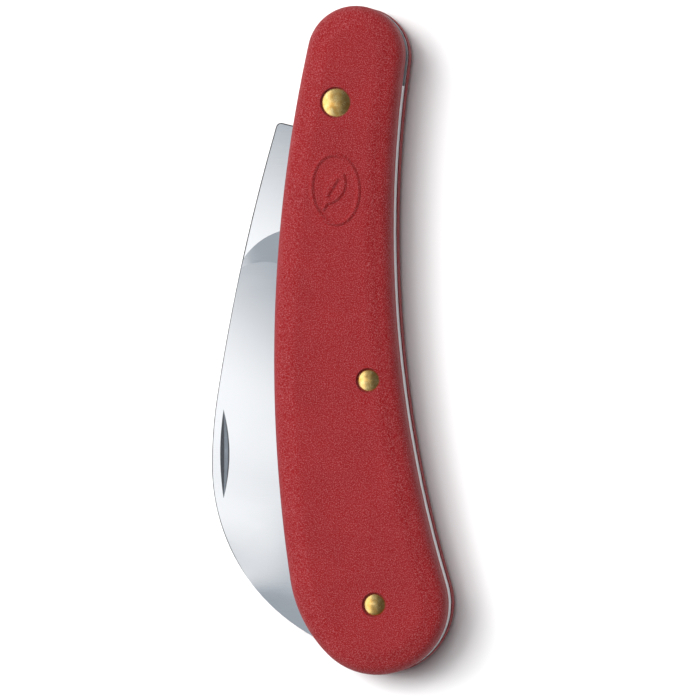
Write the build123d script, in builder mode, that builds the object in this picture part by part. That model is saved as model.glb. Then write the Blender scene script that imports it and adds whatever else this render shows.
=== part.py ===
"""Folding grafting and pruning knife, closed, lying on its back scale.

Two moulded nylon scales and two steel liners are riveted round a back spring. A hooked blade turns on the
largest rivet, and its tang bears on the free end of the spring. The frame has +Y towards the pivot end, +X
towards the spring's back and +Z up through the front scale. The origin is the middle of the underside.
Plan sizes are measured from the pivot axis, heights from the middle of the blade's thickness.
"""

import os
from math import atan2, cos, degrees, hypot, radians, sin, sqrt

from build123d import *

os.makedirs("parts", exist_ok=True)

# Handle outline: a head circle and a butt circle joined by a long front arc, a long hollow back arc and a
# blending arc under the butt.
HANDLE_LENGTH = 110.0
HEAD_REACH = 16.0  # pivot axis to the head end
HEAD_RADIUS = 8.0
HEAD_SHIFT = 2.85  # head circle towards the back
BUTT_RADIUS = 11.6
BUTT_SHIFT = 6.4  # butt circle towards the back
BLEND_RADIUS = 22.0
BLEND_ANGLE = 225.0  # where the blend leaves the butt circle
FRONT_RADIUS = 240.0
BACK_RADIUS = 200.0

# Layers, from the middle outwards.
SPRING_THICKNESS = 2.5
BLADE_SIDE_CLEARANCE = 0.05
LINER_THICKNESS = 0.6
SCALE_THICKNESS = 5.3
SCALE_ROUND = 2.4  # of the outer edge, below the crown
CROWN_WIDTH = 3.6  # of the slope all round the flat outer face
CROWN_DROP = 1.2  # how far that slope falls
CROWN_ROUND = 4.0  # between that slope and the flat
METAL_INSET = 0.12  # liners and spring inside the scales' outline

# Rivets: shank and head radii, and the dish that each head sits in.
PIVOT_SHANK = 1.75
PIVOT_HEAD = 2.35
SMALL_SHANK = 1.25
SMALL_HEAD = 1.8
RIVET_CLEARANCE = 0.02
PIVOT_CLEARANCE = 0.05
HEAD_RIM_DEPTH = 0.45  # rim of the domed head below the scale's face
CROWN_DEPTH = 0.03  # crown of the domed head below the scale's face
DISH_FLARE = 0.25
MIDDLE_STATION = 45.6  # pivot axis to the middle rivet, along the handle
MIDDLE_INSET = 5.0  # middle rivet in from the back edge

# Tang: two flats and a round between them. A shoulder stops the open blade on the spring's end.
TANG_FLAT = 6.3
TANG_RADIUS = 7.0
TANG_GAP = 0.08
SHOULDER_DROP = 4.0  # pivot axis to the shoulder's inner corner
SHOULDER_SLOPE = 14.5
SHOULDER_REACH = 4.4  # how far the shoulder stands out past the flat
CORNER_ROUND = 0.9
NOTCH_ROUND = 0.35
KICK_DROP = 3.0  # pivot axis to the lower end of the closed flat
BEARING_DROP = 6.0  # pivot axis to where the spring's straight bearing ends

# Blade: the spine swells out of the handle to a belly, the edge hides inside it and ends in a hook.
BELLY_STAND_OUT = 11.6  # belly past the handle's front edge
BELLY_FROM_BUTT = 22.8  # belly above the butt circle's centre
BELLY_RADIUS = 74.0
BELLY_ARC = 8.7
TIP_ANGLE = 227.0  # direction of the tip from the butt circle's centre
TIP_COVER = 1.4  # handle outside the tip
HOOK_LEAN = 30.0
HOOK_RADIUS = 26.0
HEEL_X = -1.0
HEEL_DROP = 17.0
CHOIL_X = 1.0
CHOIL_DROP = 14.2
CHOIL_RADIUS = 2.2
EDGE_HALF = 0.1  # half the thickness left at the edge
GRIND_SLOPE = 0.08  # the steepest that either face is ground, towards the tip
SPINE_BEVEL_WIDTH = 0.2
SPINE_BEVEL_DROP = 0.13
SPINE_RELIEF = 0.5  # how far outside the spine the grind would reach full thickness
PLUNGE_DROP = 20.5  # pivot axis to the plunge line inside the handle
PLUNGE_RADIUS = 11.3  # of the plunge line where it turns towards the spine
PLUNGE_TURN_X = -7.0  # middle of that turn
PLUNGE_SLOPE = 0.1  # of the face that climbs from the grind to the full thickness
GRIND_TOP = 17.0  # pivot axis to where the wheel is clear of the blade
GRIND_SECTIONS = 11
NICK_LENGTH = 14.7
NICK_DEPTH = 0.75
NICK_STEEP_WIDTH = 0.55  # from the bottom of the nick to its spine side
NICK_SHALLOW_WIDTH = 1.1  # and to its other side
NICK_SINK = 0.12  # ground face below full thickness at the nick
NICK_FROM_SPINE = 1.95
NICK_SHIFT = 1.8  # middle of the nick from the belly, towards the head

# Back spring: a free arm, a waist, then a tail that holds the middle and end rivets.
WAIST_STATION = 24.0
WAIST_WIDTH = 3.8
BOSS_MARGIN = 3.2  # spring past the middle of its rivets, on the blade's side
TAIL_END_SHIFT = 3.4  # tail's end, in front of the end rivet

# Emblem: a leaf in an oval frame, standing a little above the front scale.
EMBLEM_SHIFT = -0.15
EMBLEM_DROP = 14.2
EMBLEM_TURN = 4.0
EMBLEM_HALF_WIDTH = 4.3
EMBLEM_HALF_HEIGHT = 6.1
EMBLEM_LINE = 0.85
EMBLEM_HEIGHT = 0.3
EMBLEM_SLOPE_WIDTH = 0.34
EMBLEM_SLOPE_DROP = 0.22
EMBLEM_ROOT = 0.5  # how deep the raised lines start inside the scale
LEAF_TURN = -35.0
LEAF_HALF_LENGTH = 3.1
LEAF_HALF_WIDTH = 1.7
LEAF_STEM = 1.0
LEAF_VEIN = 0.3

# Worked out from the sizes above.
spring_half = SPRING_THICKNESS / 2
blade_half = spring_half - BLADE_SIDE_CLEARANCE
scale_base = spring_half + LINER_THICKNESS
scale_face = scale_base + SCALE_THICKNESS
head_centre = Vector(HEAD_SHIFT, HEAD_REACH - HEAD_RADIUS)
butt_centre = Vector(BUTT_SHIFT, HEAD_REACH + BUTT_RADIUS - HANDLE_LENGTH)


def polar(centre, radius, angle):
    """The point at a distance and direction from a centre, in plan."""
    return centre + Vector(cos(radians(angle)), sin(radians(angle))) * radius


def direction(start, end):
    """The direction in degrees from one point to another, in plan."""
    return degrees(atan2(end.Y - start.Y, end.X - start.X))


def meeting_point(first, first_distance, second, second_distance):
    """The point, on the back's side, at given distances from two points: the centre of a tangent arc."""
    apart = hypot(second.X - first.X, second.Y - first.Y)
    along = (first_distance**2 - second_distance**2 + apart**2) / (2 * apart)
    line = direction(first, second)
    foot = polar(first, along, line)
    return polar(foot, sqrt(first_distance**2 - along**2), line + 90)


blend_centre = polar(butt_centre, BUTT_RADIUS - BLEND_RADIUS, BLEND_ANGLE)
front_to_blend = FRONT_RADIUS - BLEND_RADIUS
front_centre = meeting_point(head_centre, FRONT_RADIUS - HEAD_RADIUS, blend_centre, front_to_blend)
back_centre = meeting_point(head_centre, BACK_RADIUS + HEAD_RADIUS, butt_centre, BACK_RADIUS + BUTT_RADIUS)


def front_edge(y):
    """X of the handle's front edge at a station."""
    return front_centre.X - sqrt(FRONT_RADIUS**2 - (y - front_centre.Y) ** 2)


def back_edge(y):
    """X of the handle's hollow back edge at a station."""
    return back_centre.X - sqrt(BACK_RADIUS**2 - (y - back_centre.Y) ** 2)


belly_station = butt_centre.Y + BELLY_FROM_BUTT
belly = Vector(front_edge(belly_station) - BELLY_STAND_OUT, belly_station)
tip = polar(butt_centre, BUTT_RADIUS - TIP_COVER, TIP_ANGLE)
pivot = Vector(0, 0)
middle_rivet_place = Vector(back_edge(-MIDDLE_STATION) - MIDDLE_INSET, -MIDDLE_STATION)

# The knife's own plane: its origin is the pivot axis at mid thickness, set so that the knife's box stands on
# the origin and is centred over it.
knife = Plane(
    origin=(
        -(belly.X + butt_centre.X + BUTT_RADIUS) / 2,
        HANDLE_LENGTH / 2 - HEAD_REACH,
        scale_face,
    )
)


def outline(inset=0.0):
    """The handle's outline as tangent arcs, drawn inside the open BuildLine."""
    front_start = direction(front_centre, head_centre)
    front_end = direction(front_centre, blend_centre) % 360
    back_to_butt = direction(butt_centre, back_centre)
    back_to_head = direction(head_centre, back_centre)
    CenterArc(head_centre, HEAD_RADIUS - inset, back_to_head, front_start - back_to_head)
    CenterArc(front_centre, FRONT_RADIUS - inset, front_start, front_end - front_start)
    CenterArc(blend_centre, BLEND_RADIUS - inset, front_end, BLEND_ANGLE - front_end)
    CenterArc(butt_centre, BUTT_RADIUS - inset, BLEND_ANGLE, 360 + back_to_butt - BLEND_ANGLE)
    CenterArc(back_centre, BACK_RADIUS + inset, 180 + back_to_butt, back_to_head - back_to_butt)


def rivet_outline(shank, head, grow):
    """Half section of a rivet from mid thickness up to its rim: the shank, then the underside of the head."""
    rim = scale_face - HEAD_RIM_DEPTH
    return Polyline((0, 0), (shank + grow, 0), (shank + grow, rim - head + shank), (head + grow, rim))


def rivet_section(place):
    """The upright plane through a rivet's axis: its x runs outwards and its y up the axis."""
    return Plane(origin=knife.from_local_coords((place.X, place.Y, 0)), x_dir=(1, 0, 0), z_dir=(0, -1, 0))


def cross_holes(places, radius):
    """Through holes square to the knife, in the open BuildPart."""
    with Locations([knife.location * Location((place.X, place.Y, 0)) for place in places]):
        Hole(radius)


def shoulder_point(reach):
    """A point on the closed blade's shoulder line, at a distance in front of the tang's flat."""
    return Vector(-TANG_FLAT - reach, reach * sin(radians(SHOULDER_SLOPE)) - SHOULDER_DROP)


def cutting_edge():
    """The hidden edge, drawn from the tip up to the heel: a hooked end and a long hollow curve."""
    lean = Vector(-sin(radians(HOOK_LEAN)), cos(radians(HOOK_LEAN)))
    hook = JernArc(tip, lean, HOOK_RADIUS, -HOOK_LEAN)
    return TangentArc(hook @ 1, (HEEL_X, -HEEL_DROP), tangent=(0, 1))


def spine():
    """The spine, drawn from the tip round the nose to the belly and up to the shoulder's corner."""
    TangentArc(belly, tip, tangent=(0, -1))
    belly_arc = JernArc(belly, (0, 1), BELLY_RADIUS, -BELLY_ARC)
    return TangentArc(belly_arc @ 1, shoulder_point(SHOULDER_REACH), tangent=belly_arc % 1)


RIVETS = {
    "pivot_rivet": (pivot, PIVOT_SHANK, PIVOT_HEAD),
    "middle_rivet": (middle_rivet_place, SMALL_SHANK, SMALL_HEAD),
    "end_rivet": (butt_centre, SMALL_SHANK, SMALL_HEAD),
}
small_rivets = [middle_rivet_place, butt_centre]

# Rivets: brass, with a shank and a coned, domed head at both ends.
for rivet_name, (place, shank, head) in RIVETS.items():
    section = rivet_section(place)
    crown = Vector(0, scale_face - CROWN_DEPTH)
    rise = HEAD_RIM_DEPTH - CROWN_DEPTH
    with BuildPart() as rivet:
        with BuildSketch(section):
            with BuildLine():
                half = rivet_outline(shank, head, 0)
                RadiusArc(half @ 1, crown, -(head**2 + rise**2) / (2 * rise))
                Line(crown, half @ 0)
            make_face()
        revolve(axis=Axis(section.origin, (0, 0, 1)))
        mirror(about=knife)
    rivet.part.label = rivet_name
    export_step(rivet.part, f"parts/{rivet_name}.step")

# What the rivets take out of a scale: their holes, and a flared dish round each head.
with BuildPart() as rivet_room:
    for place, shank, head in RIVETS.values():
        section = rivet_section(place)
        with BuildSketch(section):
            with BuildLine():
                half = rivet_outline(shank, head, RIVET_CLEARANCE)
                mouth = Vector(head + DISH_FLARE, scale_face)
                Polyline(half @ 1, mouth, (mouth.X, 2 * scale_face), (0, 2 * scale_face), half @ 0)
            make_face()
        revolve(axis=Axis(section.origin, (0, 0, 1)))

# Scales: nylon mouldings with rounded edges. The front one carries the emblem, a leaf in an oval frame.
with BuildPart() as plain_scale:
    with BuildSketch(knife.offset(scale_base)):
        with BuildLine():
            outline()
        make_face()
    extrude(amount=SCALE_THICKNESS)
    outer_face = plain_scale.faces().sort_by(Axis.Z)[-1]
    chamfer(outer_face.edges(), CROWN_WIDTH, CROWN_DROP, reference=outer_face)
    outer_face = plain_scale.faces().sort_by(Axis.Z)[-1]
    crown_faces = plain_scale.faces().group_by(Axis.Z)[-2]
    lower_edges = crown_faces.edges().group_by(Axis.Z)[0]
    fillet(lower_edges, SCALE_ROUND)
    fillet(plain_scale.faces().sort_by(Axis.Z)[-1].edges(), CROWN_ROUND)

with BuildPart() as back_scale:
    add(mirror(plain_scale.part, about=knife, mode=Mode.PRIVATE))
    add(mirror(rivet_room.part, about=knife, mode=Mode.PRIVATE), mode=Mode.SUBTRACT)
back_scale.part.label = "back_scale"
export_step(back_scale.part, "parts/back_scale.step")

with BuildPart() as emblem:
    emblem_spot = Location((EMBLEM_SHIFT, -EMBLEM_DROP, scale_face - EMBLEM_ROOT), (0, 0, EMBLEM_TURN))
    with BuildSketch(Plane(knife.location * emblem_spot)):
        Ellipse(EMBLEM_HALF_WIDTH, EMBLEM_HALF_HEIGHT)
        Ellipse(EMBLEM_HALF_WIDTH - EMBLEM_LINE, EMBLEM_HALF_HEIGHT - EMBLEM_LINE, mode=Mode.SUBTRACT)
        leaf_spots = [(0, -LEAF_HALF_LENGTH), (LEAF_HALF_WIDTH, 0), (0, LEAF_HALF_LENGTH), (-LEAF_HALF_WIDTH, 0)]
        leaf_foot, near_side, leaf_point, far_side = (
            Vector(*spot).rotate(Axis.Z, LEAF_TURN) for spot in leaf_spots
        )
        with BuildLine():
            ThreePointArc(leaf_foot, near_side, leaf_point)
            ThreePointArc(leaf_point, far_side, leaf_foot)
        make_face()
        with Locations(Location(leaf_foot, (0, 0, LEAF_TURN))):
            Rectangle(EMBLEM_LINE, 2 * LEAF_STEM)
        with Locations(Location((0, 0, 0), (0, 0, LEAF_TURN))):
            Rectangle(LEAF_VEIN, LEAF_HALF_LENGTH, mode=Mode.SUBTRACT)
    extrude(amount=EMBLEM_ROOT + EMBLEM_HEIGHT)
    for raised_shape in ("ring", "leaf"):
        widest_face = emblem.faces().group_by(Axis.Z)[-1].sort_by(SortBy.AREA)[-1]
        chamfer(widest_face.edges(), EMBLEM_SLOPE_WIDTH, EMBLEM_SLOPE_DROP, reference=widest_face)

with BuildPart() as front_scale:
    add(plain_scale.part)
    add(emblem.part)
    add(rivet_room.part, mode=Mode.SUBTRACT)
front_scale.part.label = "front_scale"
export_step(front_scale.part, "parts/front_scale.step")

# Liners: steel plates of the handle's outline, just inside the scales.
with BuildPart() as front_liner:
    with BuildSketch(knife.offset(spring_half)):
        with BuildLine():
            outline(METAL_INSET)
        make_face()
    extrude(amount=LINER_THICKNESS)
    cross_holes([pivot], PIVOT_SHANK + RIVET_CLEARANCE)
    cross_holes(small_rivets, SMALL_SHANK + RIVET_CLEARANCE)
front_liner.part.label = "front_liner"
export_step(front_liner.part, "parts/front_liner.step")

with BuildPart() as back_liner:
    add(mirror(front_liner.part, about=knife, mode=Mode.PRIVATE))
back_liner.part.label = "back_liner"
export_step(back_liner.part, "parts/back_liner.step")

# Back spring: its outer side is the handle's back, and its inner side leaves room for the blade. Its end is
# cut parallel to the open blade's shoulder.
beyond = 2 * BUTT_RADIUS
end_slope = shoulder_point(0) - shoulder_point(beyond)
bearing_top = Vector(TANG_FLAT, SHOULDER_DROP - TANG_GAP)
waist = Vector(back_edge(-WAIST_STATION) - WAIST_WIDTH, -WAIST_STATION)
boss_side = middle_rivet_place - Vector(BOSS_MARGIN, 0)
tail_side = butt_centre - Vector(BOSS_MARGIN, 0)
tail_end = butt_centre - Vector(TAIL_END_SHIFT, beyond)
with BuildPart() as back_spring:
    with BuildSketch(knife.offset(-spring_half)):
        with BuildLine():
            outline(METAL_INSET)
        make_face()
        with BuildLine():
            bearing = Line(bearing_top, (TANG_FLAT, -BEARING_DROP))
            side = Spline(bearing @ 1, waist, boss_side, tail_side, tangents=((0, -1), (0, -1)))
            far_end = Vector(beyond, tail_end.Y)
            Polyline(side @ 1, tail_end, far_end, bearing_top + end_slope, bearing_top)
        make_face(mode=Mode.INTERSECT)
    extrude(amount=SPRING_THICKNESS)
    cross_holes(small_rivets, SMALL_SHANK + RIVET_CLEARANCE)
back_spring.part.label = "back_spring"
export_step(back_spring.part, "parts/back_spring.step")

# The plunge: what stands between the ground face and the flat ricasso. It climbs in a shallow cone, so that
# it ends along a rounded line, and straight on inside the handle.
plunge_middle = Vector(PLUNGE_TURN_X, -PLUNGE_DROP - PLUNGE_RADIUS)
cone_foot = blade_half - PLUNGE_SLOPE * PLUNGE_RADIUS
cone_reach = PLUNGE_RADIUS + SPRING_THICKNESS / PLUNGE_SLOPE
cone_top = cone_foot + PLUNGE_SLOPE * cone_reach
cone_origin = knife.from_local_coords((plunge_middle.X, plunge_middle.Y, 0))
cone_side = Plane(origin=cone_origin, x_dir=(0, 1, 0), z_dir=(1, 0, 0))
with BuildPart() as plunge:
    with BuildSketch(knife):
        with Locations((plunge_middle.X, plunge_middle.Y + HANDLE_LENGTH / 2)):
            Rectangle(HANDLE_LENGTH, HANDLE_LENGTH)
    extrude(amount=cone_top)
    with BuildSketch(cone_side) as cone_section:
        with BuildLine():
            Polyline((0, cone_foot), (cone_reach, cone_top), (0, cone_top), (0, cone_foot))
        make_face()
    revolve(axis=Axis(cone_origin, (0, 0, 1)), mode=Mode.SUBTRACT)
    extrude(cone_section.sketch, amount=HANDLE_LENGTH, mode=Mode.SUBTRACT)

# What the grinding wheel takes off the front of the blade: a wedge that is deepest at the edge, in cross
# sections from the plunge down to the tip. Where the blade narrows, its spine is ground thinner too.
with BuildLine() as spine_line:
    spine()
with BuildLine() as edge_line:
    cutting_edge()


def station_x(curve, station):
    """X where an outline curve crosses a station, or comes nearest to it."""
    crossing = Edge.make_line((-HANDLE_LENGTH, station), (HANDLE_LENGTH, station))
    nearest = min(curve.edges(), key=lambda edge: edge.distance_to(crossing))
    return nearest.closest_points(crossing)[0].X


grind_step = (-tip.Y - GRIND_TOP) / (GRIND_SECTIONS - 1)
with BuildPart() as grinder:
    for section_number in range(GRIND_SECTIONS):
        station = -GRIND_TOP - section_number * grind_step
        edge_side = Vector(station_x(edge_line, station), EDGE_HALF)
        spine_side_x = station_x(spine_line, station) - SPINE_RELIEF
        ground_height = EDGE_HALF + GRIND_SLOPE * (edge_side.X - spine_side_x)
        spine_side = Vector(spine_side_x, min(blade_half, ground_height))
        roof = 2 * SPRING_THICKNESS
        slice_origin = knife.from_local_coords((0, station, 0))
        with BuildSketch(Plane(origin=slice_origin, x_dir=(1, 0, 0), z_dir=(0, -1, 0))):
            with BuildLine():
                ground = Line(spine_side, edge_side)
                Polyline(ground @ 1, (beyond, edge_side.Y), (beyond, roof), (spine_side.X, roof), ground @ 0)
            make_face()
    loft()
    add(plunge.part, mode=Mode.SUBTRACT)

# Blade: its outline runs from the belly up to the shoulder, round the tang, down the kick and choil, along
# the edge to the tip and back along the nose.
flat_end = sqrt(TANG_RADIUS**2 - TANG_FLAT**2)
flat_x = TANG_FLAT - TANG_GAP
round_start = degrees(atan2(flat_end, flat_x))
nick_place = Vector(belly.X + NICK_FROM_SPINE, belly.Y + NICK_SHIFT)
wheel_radius = (NICK_LENGTH**2 / 4 + NICK_DEPTH**2) / (2 * NICK_DEPTH)
wheel_height = blade_half - NICK_SINK + wheel_radius - NICK_DEPTH
wheel_axle = knife.from_local_coords((nick_place.X, nick_place.Y, wheel_height))
wheel = Plane(origin=wheel_axle, x_dir=(1, 0, 0), z_dir=(0, -1, 0))
with BuildPart() as blade:
    with BuildSketch(knife.offset(-blade_half)) as blade_plan:
        with BuildLine():
            spine()
            Line(shoulder_point(SHOULDER_REACH), shoulder_point(-TANG_GAP))
            Line(shoulder_point(-TANG_GAP), (-flat_x, flat_end))
            CenterArc((0, 0), hypot(flat_x, flat_end), round_start, 180 - 2 * round_start)
            kick = Polyline((flat_x, flat_end), (flat_x, -KICK_DROP), (CHOIL_X, -CHOIL_DROP))
            edge = cutting_edge()
            RadiusArc(edge @ 1, kick @ 1, CHOIL_RADIUS)
        make_face()
        outer_corner = Vertex(*shoulder_point(SHOULDER_REACH))
        fillet(blade_plan.vertices().sort_by_distance(outer_corner)[0], CORNER_ROUND)
        inner_corner = Vertex(*shoulder_point(-TANG_GAP))
        fillet(blade_plan.vertices().sort_by_distance(inner_corner)[0], NOTCH_ROUND)
    extrude(amount=2 * blade_half)
    spine_spots = [curve @ 0.5 for curve in spine_line.edges()] + [Vector(*shoulder_point(SHOULDER_REACH))]
    for side in (-blade_half, blade_half):
        side_spots = [knife.from_local_coords((spot.X, spot.Y, side)) for spot in spine_spots]
        side_face = blade.faces().filter_by(Axis.Z).sort_by_distance(side_spots[0])[0]
        side_edges = [side_face.edges().sort_by_distance(spot)[0] for spot in side_spots]
        chamfer(side_edges, SPINE_BEVEL_WIDTH, SPINE_BEVEL_DROP, reference=side_face)
    cross_holes([pivot], PIVOT_SHANK + PIVOT_CLEARANCE)
    add(grinder.part, mode=Mode.SUBTRACT)
    add(mirror(grinder.part, about=knife, mode=Mode.PRIVATE), mode=Mode.SUBTRACT)
    with BuildSketch(wheel):
        with BuildLine():
            wheel_side = 2 * NICK_DEPTH - wheel_radius
            rim = Line((2 * NICK_SHALLOW_WIDTH, wheel_side), (-2 * NICK_STEEP_WIDTH, wheel_side))
            Polyline(rim @ 0, (0, -wheel_radius), rim @ 1)
        make_face()
    revolve(axis=Axis(wheel_axle, (1, 0, 0)), mode=Mode.SUBTRACT)
blade.part.label = "blade"
export_step(blade.part, "parts/blade.step")

print("pivot axis at", knife.origin)
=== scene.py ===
# %% [markdown]
# # A folding grafting knife
# The knife lies closed on a pale table. Its shapes come from a CAD model, which loads as a fixed frame: every
# CAD part arrives at its place, in metres, with +Y towards the pivot end and +Z up. This lesson adds what CAD
# leaves out: grained nylon, ground steel, worn brass, the light and the camera. No shape is changed.

# %% Load the frame and keep its box
from math import cos, pi, radians, sin

import bpy
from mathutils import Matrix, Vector


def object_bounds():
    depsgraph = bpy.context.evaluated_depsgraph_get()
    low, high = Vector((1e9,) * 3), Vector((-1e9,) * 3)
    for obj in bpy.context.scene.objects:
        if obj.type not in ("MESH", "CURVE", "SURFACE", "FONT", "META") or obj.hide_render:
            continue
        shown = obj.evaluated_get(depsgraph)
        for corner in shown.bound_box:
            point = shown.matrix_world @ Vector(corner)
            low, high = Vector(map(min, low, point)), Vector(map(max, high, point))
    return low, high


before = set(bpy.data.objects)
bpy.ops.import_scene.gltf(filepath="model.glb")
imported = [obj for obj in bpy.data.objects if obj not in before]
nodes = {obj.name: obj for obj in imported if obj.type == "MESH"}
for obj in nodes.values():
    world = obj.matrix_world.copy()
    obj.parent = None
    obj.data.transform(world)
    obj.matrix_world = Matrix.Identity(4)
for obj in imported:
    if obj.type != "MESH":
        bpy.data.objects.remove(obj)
cad_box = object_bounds()
millimetre = 0.001
print("CAD box in mm:", [round(v / millimetre, 2) for corner in cad_box for v in corner])

# %% [markdown]
# ## The camera
# A long lens far away keeps the sides of the knife nearly parallel, as product pictures do. The camera looks
# down on the knife, turned a little towards the spring's side, so that the steel in the back shows as a strip.

# %% Place the camera
aim = Vector((3.1, -1.6, 7.15)) * millimetre
camera_distance = 1.2
camera_turn = radians(9.0)
view_width = 115.5 * millimetre
bpy.ops.object.camera_add(location=aim + camera_distance * Vector((sin(camera_turn), 0, cos(camera_turn))),
                          rotation=(0, camera_turn, 0))
camera = bpy.context.object
camera.data.sensor_width = 36.0
camera.data.lens = camera.data.sensor_width * camera_distance / view_width
camera.data.clip_start = 0.05
camera.data.clip_end = 20.0
bpy.context.scene.camera = camera
print("lens:", round(camera.data.lens), "mm")

# %% [markdown]
# ## Shader sums
# A material is a graph of nodes. Writing its sums as Python expressions keeps a formula readable: a Reading
# wraps a socket, and adding or multiplying it makes the Math node. A Finish is one material, and its node
# method makes every other kind of node.

# %% A socket that can be used in sums, and a material that makes nodes
class Reading:
    """A number that changes over the surface."""

    def __init__(self, finish, socket):
        self.finish = finish
        self.socket = socket

    def sum(self, operation, first, second):
        made = self.finish.node("ShaderNodeMath", {"operation": operation}, {0: first, 1: second})
        return Reading(self.finish, made.outputs[0])

    def __add__(self, other):
        return self.sum("ADD", self, other)

    def __mul__(self, other):
        return self.sum("MULTIPLY", self, other)

    def __radd__(self, other):
        return self.sum("ADD", other, self)

    def __rsub__(self, other):
        return self.sum("SUBTRACT", other, self)

    def __rmul__(self, other):
        return self.sum("MULTIPLY", other, self)


class Finish:
    """One material, with its Principled shader and its way of making nodes."""

    def __init__(self, name, **shader_values):
        self.material = bpy.data.materials.new(name)
        self.material.use_nodes = True
        self.tree = self.material.node_tree
        self.tree.nodes.clear()
        self.shader = self.node("ShaderNodeBsdfPrincipled", {}, shader_values)
        self.output = self.node("ShaderNodeOutputMaterial", {}, {"Surface": self.shader.outputs[0]})
        self.place = self.node("ShaderNodeTexCoord").outputs["Object"]

    def node(self, kind, settings=None, inputs=None):
        """A node with its settings made first, then its values and links."""
        made = self.tree.nodes.new(kind)
        for name, value in (settings or {}).items():
            setattr(made, name, value)
        for name, value in (inputs or {}).items():
            self.feed(made.inputs[name.replace("_", " ") if isinstance(name, str) else name], value)
        return made

    def feed(self, socket, value):
        """Links a reading or socket, or sets a plain value."""
        if isinstance(value, Reading):
            value = value.socket
        if isinstance(value, bpy.types.NodeSocket):
            self.tree.links.new(value, socket)
        else:
            socket.default_value = value

    def wears(self, **channels):
        """Feeds channels of the shader with what changes over the surface."""
        for name, value in channels.items():
            self.feed(self.shader.inputs[name.replace("_", " ")], value)

    def stretched(self, scale, rotation=(0, 0, 0)):
        """The place on the object, stretched and turned."""
        return self.node("ShaderNodeMapping", {}, {"Vector": self.place, "Scale": scale,
                                                   "Rotation": rotation}).outputs[0]

    def noise(self, scale, detail=2.0, roughness=0.5, place=None):
        """Cloudy noise from 0 to 1, with its scale in lumps per metre."""
        made = self.node("ShaderNodeTexNoise", {}, {"Vector": place or self.place, "Scale": scale,
                                                    "Detail": detail, "Roughness": roughness})
        return Reading(self, made.outputs["Fac"])

    def between(self, reading, low, high, new_low=0.0, new_high=1.0):
        """A reading stretched from one range to another and kept inside it."""
        made = self.node("ShaderNodeMapRange", {}, {"Value": reading, "From_Min": low, "From_Max": high,
                                                    "To_Min": new_low, "To_Max": new_high})
        return Reading(self, made.outputs[0])

    def mix(self, amount, first, second):
        """A colour between two colours."""
        return self.node("ShaderNodeMix", {"data_type": "RGBA"},
                         {0: amount, 6: first, 7: second}).outputs[2]

    def bump(self, height, depth, strength):
        """A relief, its depth in metres."""
        return self.node("ShaderNodeBump", {}, {"Height": height, "Distance": depth,
                                                "Strength": strength}).outputs[0]


def colour(red, green, blue):
    """A colour from its screen values, 0 to 255."""
    return tuple((c / 255) ** 2.2 for c in (red, green, blue)) + (1.0,)


print("shader helpers ready")

# %% [markdown]
# ## Moulded nylon
# The scales are red nylon from a mould with a fine spark-eroded grain. The nylon itself is a deep red, and the
# tops of the grain catch the light. The grain could be real bumps in the mesh, but there would be millions. So
# it is a bump of small lumps with rougher tops, and a paler red painted on those tops stands in as painted
# sheen.

# %% Red nylon
grain_depth = 0.05 * millimetre
# How much painted sheen, a paler red, goes on the grain tops.
painted_sheen_share = 0.6
nylon = Finish("red_nylon_grain", IOR=1.5, Specular_IOR_Level=0.2)
grain = nylon.noise(7000, 1.0, 0.5)
pits = nylon.noise(3000, 2.0, 0.5)
cloud = nylon.noise(140, 3.0, 0.5)
relief = nylon.between(grain, 0.3, 0.7) + 0.7 * nylon.between(pits, 0.3, 0.7)
# The tops of the grain: they are made rougher, and the painted sheen goes on them.
rough_tops_and_sheen = nylon.between(grain, 0.46, 0.72)
deep = nylon.mix(nylon.between(cloud, 0.3, 0.7, 0, 0.5), colour(136, 24, 27), colour(124, 20, 24))
# Painted sheen: a paler red mixed into the base colour on the grain tops, in place of the light they catch.
nylon.wears(Base_Color=nylon.mix(painted_sheen_share * rough_tops_and_sheen, deep, colour(190, 112, 116)),
            Roughness=0.56 + 0.12 * rough_tops_and_sheen, Normal=nylon.bump(relief, grain_depth, 1.0))
print("nylon nodes:", len(nylon.tree.nodes))

# %% [markdown]
# ## Ground and polished steel
# The blade is ground across its width and then polished, so fine lines run from the spine to the edge. The
# lines are a noise that changes 36 times faster along the blade than across it. They vary the colour and the
# roughness a little, because a polish leaves them faint.

# %% Blade steel
steel = Finish("blade_steel_polish", Metallic=1.0, IOR=2.5)
lines = steel.noise(1.0, 3.0, 0.6, steel.stretched((250, 9000, 250), (0, 0, radians(8))))
smudge = steel.noise(60, 2.0, 0.5)
steel.wears(Base_Color=steel.mix(lines, colour(230, 232, 236), colour(240, 242, 245)),
            Roughness=0.05 + 0.04 * lines + 0.03 * smudge,
            Normal=steel.bump(lines, 0.003 * millimetre, 0.2))
print("blade steel nodes:", len(steel.tree.nodes))

# %% [markdown]
# ## The steel in the back
# The spring and the liners are ground flush with each other along the back and are left duller than the blade.
# Their grinding lines run along the handle, so the noise is stretched that way.

# %% Spring and liner steel
strip = Finish("strip_steel", Metallic=1.0)
rub = strip.noise(1.0, 3.0, 0.6, strip.stretched((6000, 300, 6000)))
strip.wears(Base_Color=strip.mix(rub, colour(206, 210, 214), colour(234, 237, 240)),
            Roughness=0.24 + 0.14 * rub, Normal=strip.bump(rub, 0.006 * millimetre, 0.4))
print("strip steel nodes:", len(strip.tree.nodes))

# %% [markdown]
# ## Brass rivets
# The heads were hammered and then polished, and brass dulls unevenly. A cloudy noise mixes a darker and a
# lighter brass, and roughens and lifts the surface a little where it is dull.

# %% Rivet brass
brass = Finish("rivet_brass_polish", Metallic=1.0)
dull = brass.noise(900, 3.0, 0.6)
brass.wears(Base_Color=brass.mix(brass.between(dull, 0.35, 0.65), colour(224, 172, 92), colour(248, 212, 142)),
            Roughness=0.2 + 0.12 * dull, Normal=brass.bump(dull, 0.02 * millimetre, 0.35))
print("brass nodes:", len(brass.tree.nodes))

# %% [markdown]
# ## Which part wears what
# The last word of each part's name says what it is made of, so one short table gives every part its finish.

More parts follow.
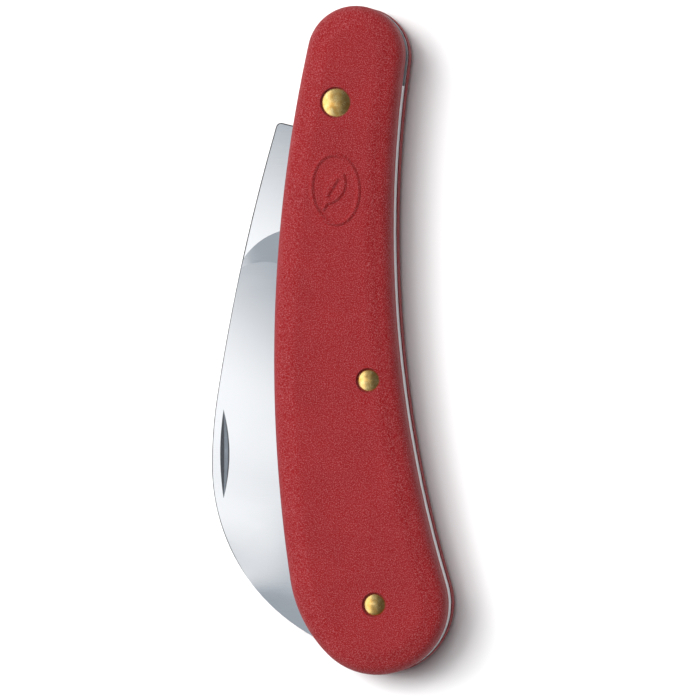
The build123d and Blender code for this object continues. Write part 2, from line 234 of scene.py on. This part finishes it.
# %% Put the finishes on the CAD parts
finishes = {"scale": nylon, "liner": strip, "spring": strip, "blade": steel, "rivet": brass}
for name, part in nodes.items():
    finish = next(f for word, f in finishes.items() if name.endswith(word))
    for material_slot in part.material_slots:
        material_slot.material = finish.material
print("finished parts:", len(nodes))

# %% [markdown]
# ## The table and the light
# A pale table runs out past the picture. The largest soft light stands high on the left and throws the short
# soft shadow on the right. One nearly overhead lifts the flat faces, and a small low one brightens the left
# shoulders. The world adds a weak even light.

# %% Table
table_size = 6.0
table_gap = 0.02 * millimetre
bpy.ops.object.select_all(action="DESELECT")
bpy.ops.mesh.primitive_plane_add(size=table_size, location=(0, 0, cad_box[0].z - table_gap))
table = bpy.context.object
table.name = "table"
paper = Finish("pale_table", Roughness=0.9)
paper.wears(Base_Color=paper.mix(paper.noise(40, 2.0), colour(250, 250, 250), colour(254, 254, 254)))
table.data.materials.append(paper.material)
print("table top in mm:", round(table.location.z / millimetre, 3))

# %% Lights that shape the knife
bpy.context.scene.view_settings.view_transform = "Standard"


def soft_light(name, way, distance, size, power):
    """A square light that faces the knife from one way, and does not show in shiny surfaces."""
    way = Vector(way).normalized()
    bpy.ops.object.light_add(type="AREA", location=aim + distance * way,
                             rotation=way.to_track_quat("Z", "Y").to_euler())
    light = bpy.context.object
    light.name = name
    light.data.size = size
    light.data.energy = power
    light.visible_camera = False
    light.visible_glossy = False
    print(name, "at", [round(v, 2) for v in light.location])


soft_light("key_light", (-0.46, 0.26, 1.0), 2.0, 1.0, 38.0)
soft_light("overhead_light", (-0.05, 0.15, 1.0), 2.0, 0.7, 17.0)
soft_light("low_left_light", (-1.0, 0.1, 0.16), 1.5, 0.4, 5.0)
world = bpy.data.worlds.new("studio")
world.use_nodes = True
world.node_tree.nodes["Background"].inputs["Color"].default_value = (0.11, 0.112, 0.117, 1)
world.node_tree.nodes["Background"].inputs["Strength"].default_value = 1.0
bpy.context.scene.world = world

# %% [markdown]
# ## A card for the steel to reflect
# Polished steel shows little of itself and much of what stands round it. A glowing card above and to the left
# gives the blade its soft change from grey to white, past a slanting line. Only reflections see the card, so it
# throws no light or shadow on the table. Its glow has a near part, over the knife, and a far part to the left.

# %% Reflected card
card_size = 1.2
card_place = (-0.55, 0, 0.6)
bpy.ops.mesh.primitive_plane_add(size=card_size, location=card_place, rotation=(pi, 0, 0))
card = bpy.context.object
card.name = "reflected_card"
bpy.ops.object.transform_apply(location=True, rotation=True, scale=True)

# %% The glow of the card
dim_glow, near_glow, far_glow = 0.42, 1.2, 1.9
slant = 0.62
glow = Finish("card_glow")
on_card = glow.node("ShaderNodeSeparateXYZ", {}, {0: glow.place})
across = Reading(glow, on_card.outputs["X"])
along = Reading(glow, on_card.outputs["Y"])
top_fade = glow.between(along + slant * across, -0.007, -0.046)
foot_fade = glow.between(along, -0.056, -0.03)
side_fade = glow.between(across, -0.046, -0.005, 1.0, 0.66)
near = glow.between(top_fade * foot_fade * side_fade, 0, 1, dim_glow, near_glow)
far = glow.between(across, -0.22, -0.36) * glow.between(across, -0.8, -0.6)
edge_fade = glow.between(across, 0.09, 0.06)
light_fall = (near + far * (far_glow - near)) * edge_fade
card_tint = glow.mix(glow.between(near, dim_glow, 0.9), (0.92, 1.0, 1.08, 1), (1, 1, 1, 1))
emission = glow.node("ShaderNodeEmission", {}, {"Color": card_tint, "Strength": light_fall})
glow.feed(glow.output.inputs["Surface"], emission.outputs[0])
card.data.materials.append(glow.material)
card.visible_camera = False
card.visible_diffuse = False
card.visible_shadow = False
print("card:", card_size, "m wide, nodes:", len(glow.tree.nodes))
